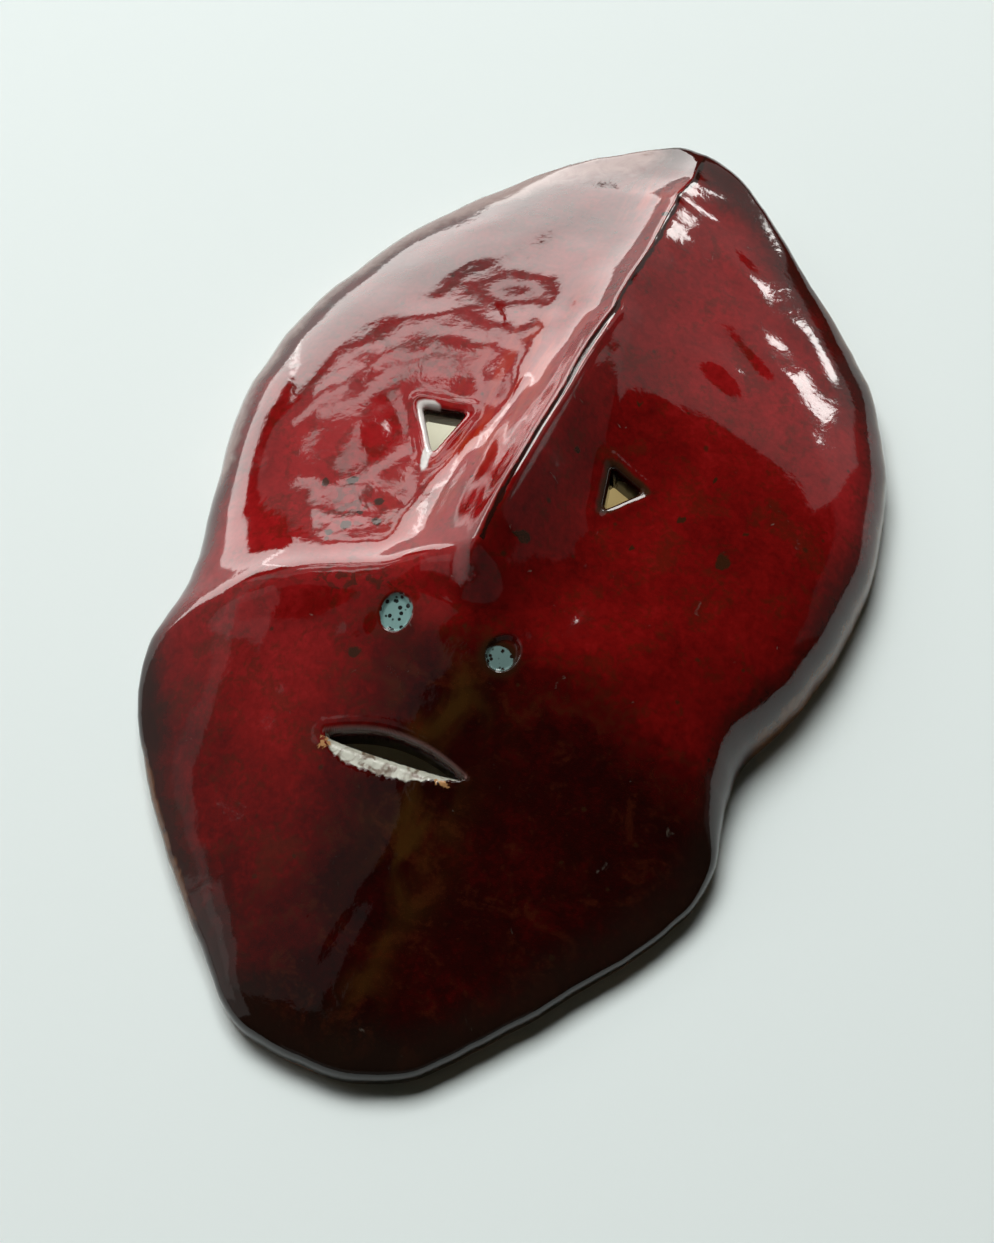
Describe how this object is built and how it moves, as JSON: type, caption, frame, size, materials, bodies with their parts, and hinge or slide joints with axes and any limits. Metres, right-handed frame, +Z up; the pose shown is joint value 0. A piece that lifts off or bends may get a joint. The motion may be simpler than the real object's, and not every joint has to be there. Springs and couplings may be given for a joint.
{
  "type": "ceramic mask",
  "caption": "Hand-built glazed stoneware face mask: hollow leaf-shaped shell with a pinched ridge and nose, triangular eye holes and a slit mouth, lying face up on its rim.",
  "frame": {"origin": "on the table, under the middle of the mask's outline", "axes": "+Z up out of the face, +Y from the chin to the pointed forehead, +X to the right as the face is looked at with the forehead up"},
  "size_m": [0.1342, 0.2152, 0.0448],
  "materials": {
    "oxblood_glaze": "glossy copper-red stoneware glaze, deep crimson to near black, thin and brown at the rim"
  },
  "bodies": {
    "root": {"mask": "oxblood_glaze"}
  },
  "joints": []
}
